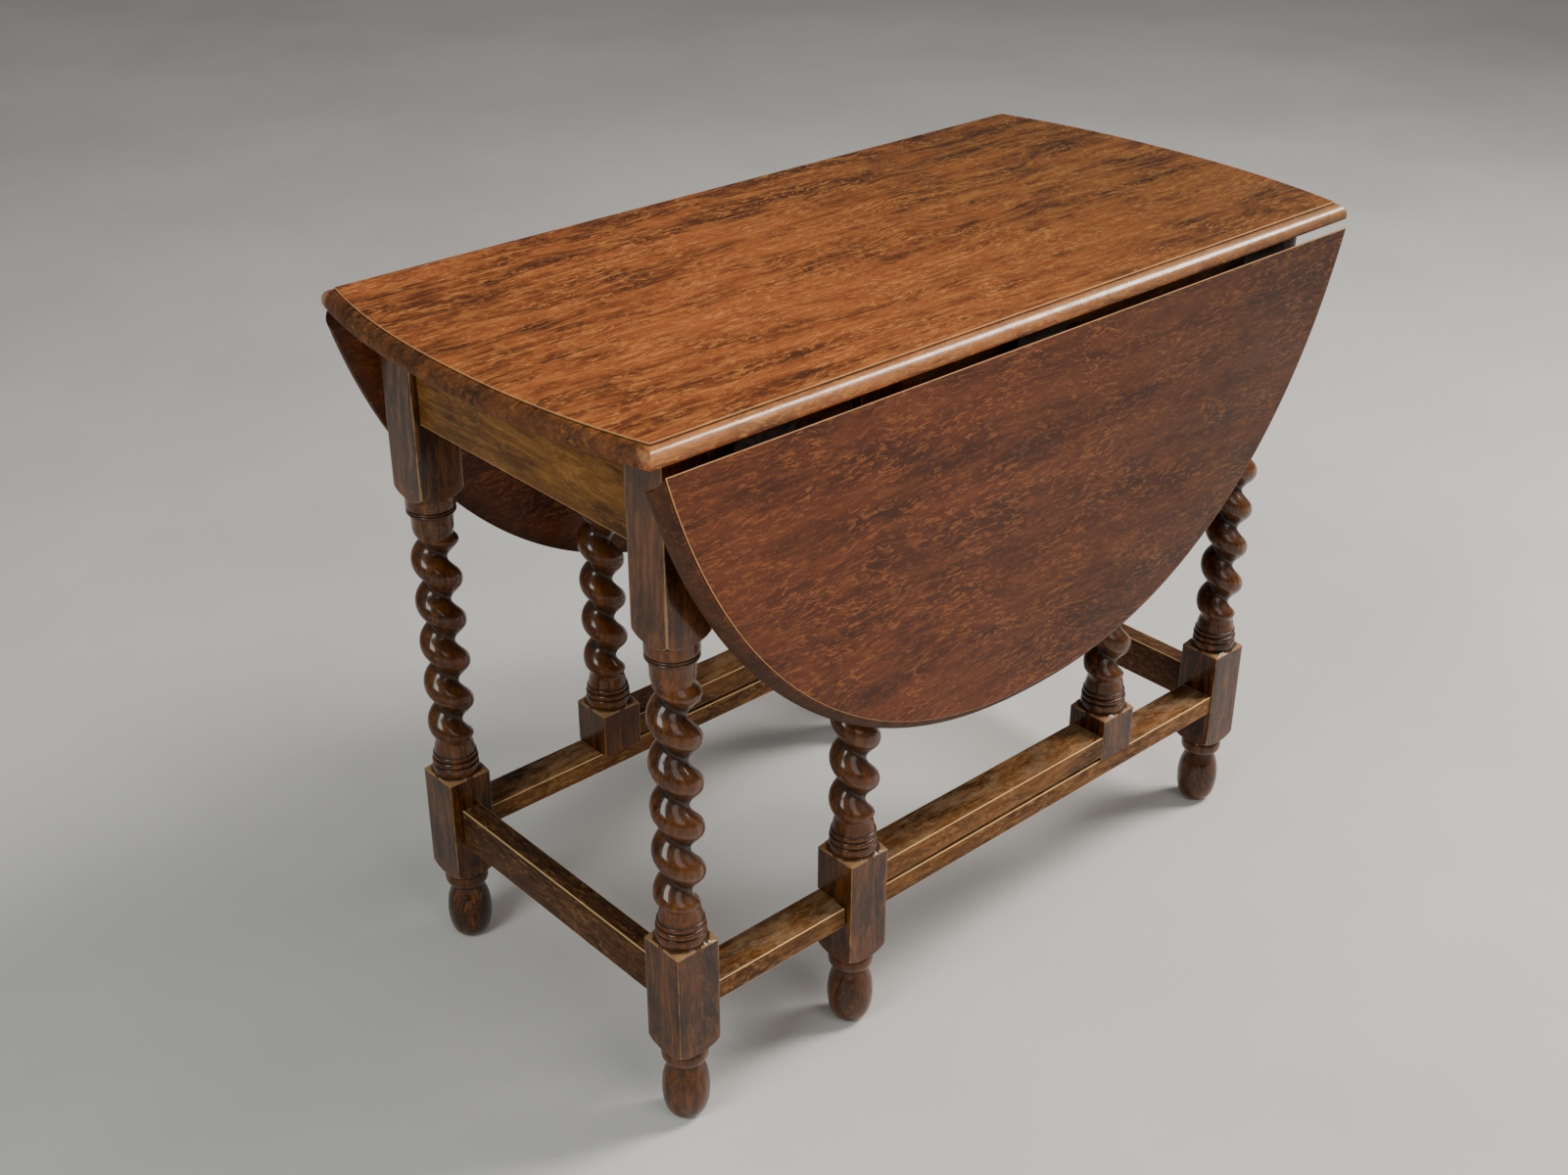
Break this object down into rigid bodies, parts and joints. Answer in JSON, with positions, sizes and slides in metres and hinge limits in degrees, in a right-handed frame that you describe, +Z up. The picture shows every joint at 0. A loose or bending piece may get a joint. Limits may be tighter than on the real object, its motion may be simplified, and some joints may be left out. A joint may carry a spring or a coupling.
{
  "type": "gateleg table",
  "caption": "Oval drop-leaf gateleg table in dark oak with barley-twist legs, rule-jointed leaves and a swinging gate under each leaf.",
  "frame": {"origin": "on the floor under the middle of the top", "axes": "+X along the hinge lines, the long way of the folded table; +Y across the leaves, towards the back leaf; +Z up"},
  "size_m": [0.9694, 0.4956, 0.735],
  "materials": {
    "top_oak": "worn waxed quarter-sawn oak, mid brown",
    "leaf_oak": "worn waxed oak, reddish brown",
    "turned_oak": "dark glossy stain on turned oak",
    "rail_oak": "golden brown oak, worn on the edges",
    "apron_oak": "golden oak with a cathedral grain",
    "hinge_iron": "dark aged iron",
    "screw_steel": "dull aged steel"
  },
  "bodies": {
    "frame": {"top_board_front": "top_oak", "top_board_middle": "top_oak", "top_board_back": "top_oak", "corner_leg_left_front": "turned_oak", "corner_leg_left_back": "turned_oak", "end_apron_left": "apron_oak", "end_stretcher_left": "rail_oak", "corner_leg_right_front": "turned_oak", "corner_leg_right_back": "turned_oak", "end_apron_right": "apron_oak", "end_stretcher_right": "rail_oak", "glue_blocks": "apron_oak", "top_screws": "screw_steel", "side_apron_front": "apron_oak", "side_stretcher_front": "rail_oak", "frame_hinge_plates_front": "hinge_iron", "frame_hinge_screws_front": "screw_steel", "hinge_pins_front": "screw_steel", "side_apron_back": "apron_oak", "side_stretcher_back": "rail_oak", "frame_hinge_plates_back": "hinge_iron", "frame_hinge_screws_back": "screw_steel", "hinge_pins_back": "screw_steel"},
    "leaf_front": {"leaf_inner_board_front": "leaf_oak", "leaf_outer_board_front": "leaf_oak", "leaf_hinge_plates_front": "hinge_iron", "leaf_hinge_screws_front": "screw_steel", "leaf_stop_front": "rail_oak", "leaf_stop_screws_front": "screw_steel"},
    "leaf_back": {"leaf_inner_board_back": "leaf_oak", "leaf_outer_board_back": "leaf_oak", "leaf_hinge_plates_back": "hinge_iron", "leaf_hinge_screws_back": "screw_steel", "leaf_stop_back": "rail_oak", "leaf_stop_screws_back": "screw_steel"},
    "gate_front": {"swing_leg_front": "turned_oak", "pivot_post_front": "turned_oak", "gate_lower_rail_front": "rail_oak", "gate_upper_rail_front": "rail_oak", "pivot_pins_front": "rail_oak"},
    "gate_back": {"swing_leg_back": "turned_oak", "pivot_post_back": "turned_oak", "gate_lower_rail_back": "rail_oak", "gate_upper_rail_back": "rail_oak", "pivot_pins_back": "rail_oak"}
  },
  "joints": [
    {"name": "leaf_front_hinge", "type": "hinge", "parent": "frame", "child": "leaf_front", "pos_m": [0, -0.2274, 0.7146], "axis": [-1, 0, 0], "range_deg": [0, 90]},
    {"name": "leaf_back_hinge", "type": "hinge", "parent": "frame", "child": "leaf_back", "pos_m": [0, 0.2274, 0.7146], "axis": [1, 0, 0], "range_deg": [0, 90]},
    {"name": "gate_front_swing", "type": "hinge", "parent": "frame", "child": "gate_front", "pos_m": [0.198, -0.1839, 0], "axis": [0, 0, 1], "range_deg": [0, 2]},
    {"name": "gate_back_swing", "type": "hinge", "parent": "frame", "child": "gate_back", "pos_m": [-0.198, 0.1839, 0], "axis": [0, 0, 1], "range_deg": [0, 2]}
  ]
}
